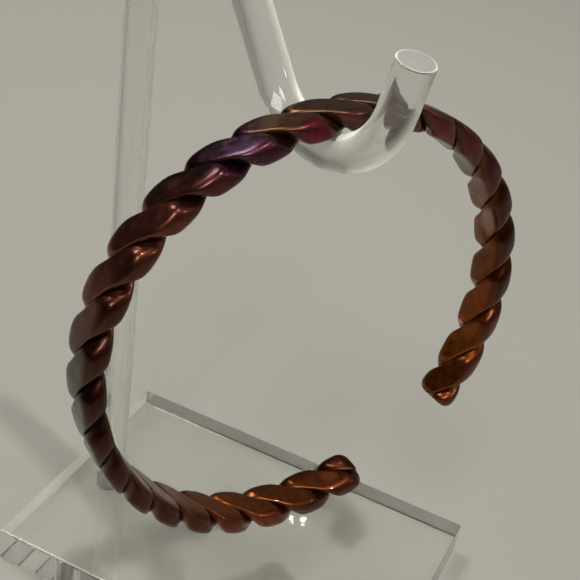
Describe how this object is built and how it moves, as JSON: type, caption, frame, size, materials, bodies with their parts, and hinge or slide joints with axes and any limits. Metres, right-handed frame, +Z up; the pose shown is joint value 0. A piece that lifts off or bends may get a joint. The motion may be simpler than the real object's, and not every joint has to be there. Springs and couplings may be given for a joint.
{
  "type": "twisted copper bracelet on a clear hook stand",
  "caption": "Open cuff bracelet of two heavy copper wires twisted together and hammered, with a dark patina, hung in the crook of a clear bent-rod hook on a clear rectangular base.",
  "frame": {"origin": "middle of the base plate's underside", "axes": "+Z up along the upright rod, Y along the hole for the wrist with the front of the cuff facing -Y, +X to the right seen from the front"},
  "size_m": [0.0795, 0.083, 0.12],
  "materials": {
    "patinated_copper": "satin",
    "clear_acrylic": "polished"
  },
  "bodies": {
    "root": {"strand_a": "patinated_copper", "strand_b": "patinated_copper", "hook_rod": "clear_acrylic", "base_plate": "clear_acrylic"}
  },
  "joints": []
}
